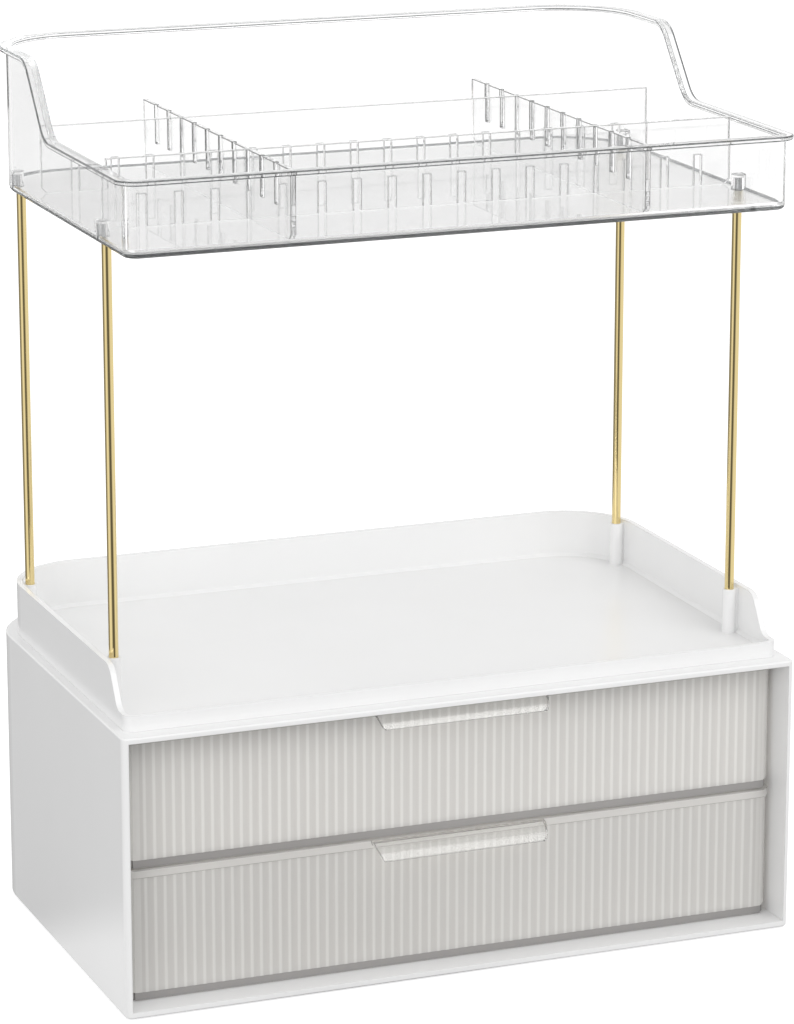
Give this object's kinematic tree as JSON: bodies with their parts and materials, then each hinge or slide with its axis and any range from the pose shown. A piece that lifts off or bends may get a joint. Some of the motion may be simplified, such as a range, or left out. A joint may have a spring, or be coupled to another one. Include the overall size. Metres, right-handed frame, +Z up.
{
  "type": "makeup organizer",
  "caption": "Makeup organizer: case with ribbed clear drawers, a low tray on its roof, and a clear tray with lift-out dividers on slim rods.",
  "frame": {"origin": "middle of the footprint, at the height of the table under the foot pads", "axes": "+Z up, -Y towards the drawer fronts, +X to the right seen from the front"},
  "size_m": [0.3, 0.196, 0.3765],
  "materials": {
    "white_plastic": "satin",
    "clear_plastic": "polished",
    "drawer_plastic": "polished",
    "gold_metal": "polished",
    "pin_steel": "satin",
    "pad_rubber": "matt"
  },
  "bodies": {
    "frame": {"case": "white_plastic", "base_tray": "white_plastic", "upper_tray": "clear_plastic", "foot_pad_front_left": "pad_rubber", "foot_pad_front_right": "pad_rubber", "foot_pad_back_left": "pad_rubber", "foot_pad_back_right": "pad_rubber", "rod_front_left": "gold_metal", "rod_front_right": "gold_metal", "rod_back_left": "gold_metal", "rod_back_right": "gold_metal", "top_pin_front_left": "pin_steel", "top_pin_front_right": "pin_steel", "top_pin_back_left": "pin_steel", "top_pin_back_right": "pin_steel"},
    "lower_drawer": {"lower_drawer": "drawer_plastic"},
    "upper_drawer": {"upper_drawer": "drawer_plastic"},
    "cross_dividers": {"cross_divider_left": "clear_plastic", "cross_divider_right": "clear_plastic"},
    "front_long_divider": {"long_divider_front": "clear_plastic"},
    "back_long_divider": {"long_divider_back": "clear_plastic"}
  },
  "joints": [
    {"name": "lower_drawer_slide", "type": "slide", "parent": "frame", "child": "lower_drawer", "axis": [0, -1, 0], "range_m": [0, 0.14]},
    {"name": "upper_drawer_slide", "type": "slide", "parent": "frame", "child": "upper_drawer", "axis": [0, -1, 0], "range_m": [0, 0.14]},
    {"name": "cross_dividers_lift", "type": "slide", "parent": "frame", "child": "cross_dividers", "axis": [0, 0, 1], "range_m": [0, 0.07]},
    {"name": "front_long_divider_lift", "type": "slide", "parent": "cross_dividers", "child": "front_long_divider", "axis": [0, 0, 1], "range_m": [0, 0.06]},
    {"name": "back_long_divider_lift", "type": "slide", "parent": "cross_dividers", "child": "back_long_divider", "axis": [0, 0, 1], "range_m": [0, 0.06]}
  ]
}
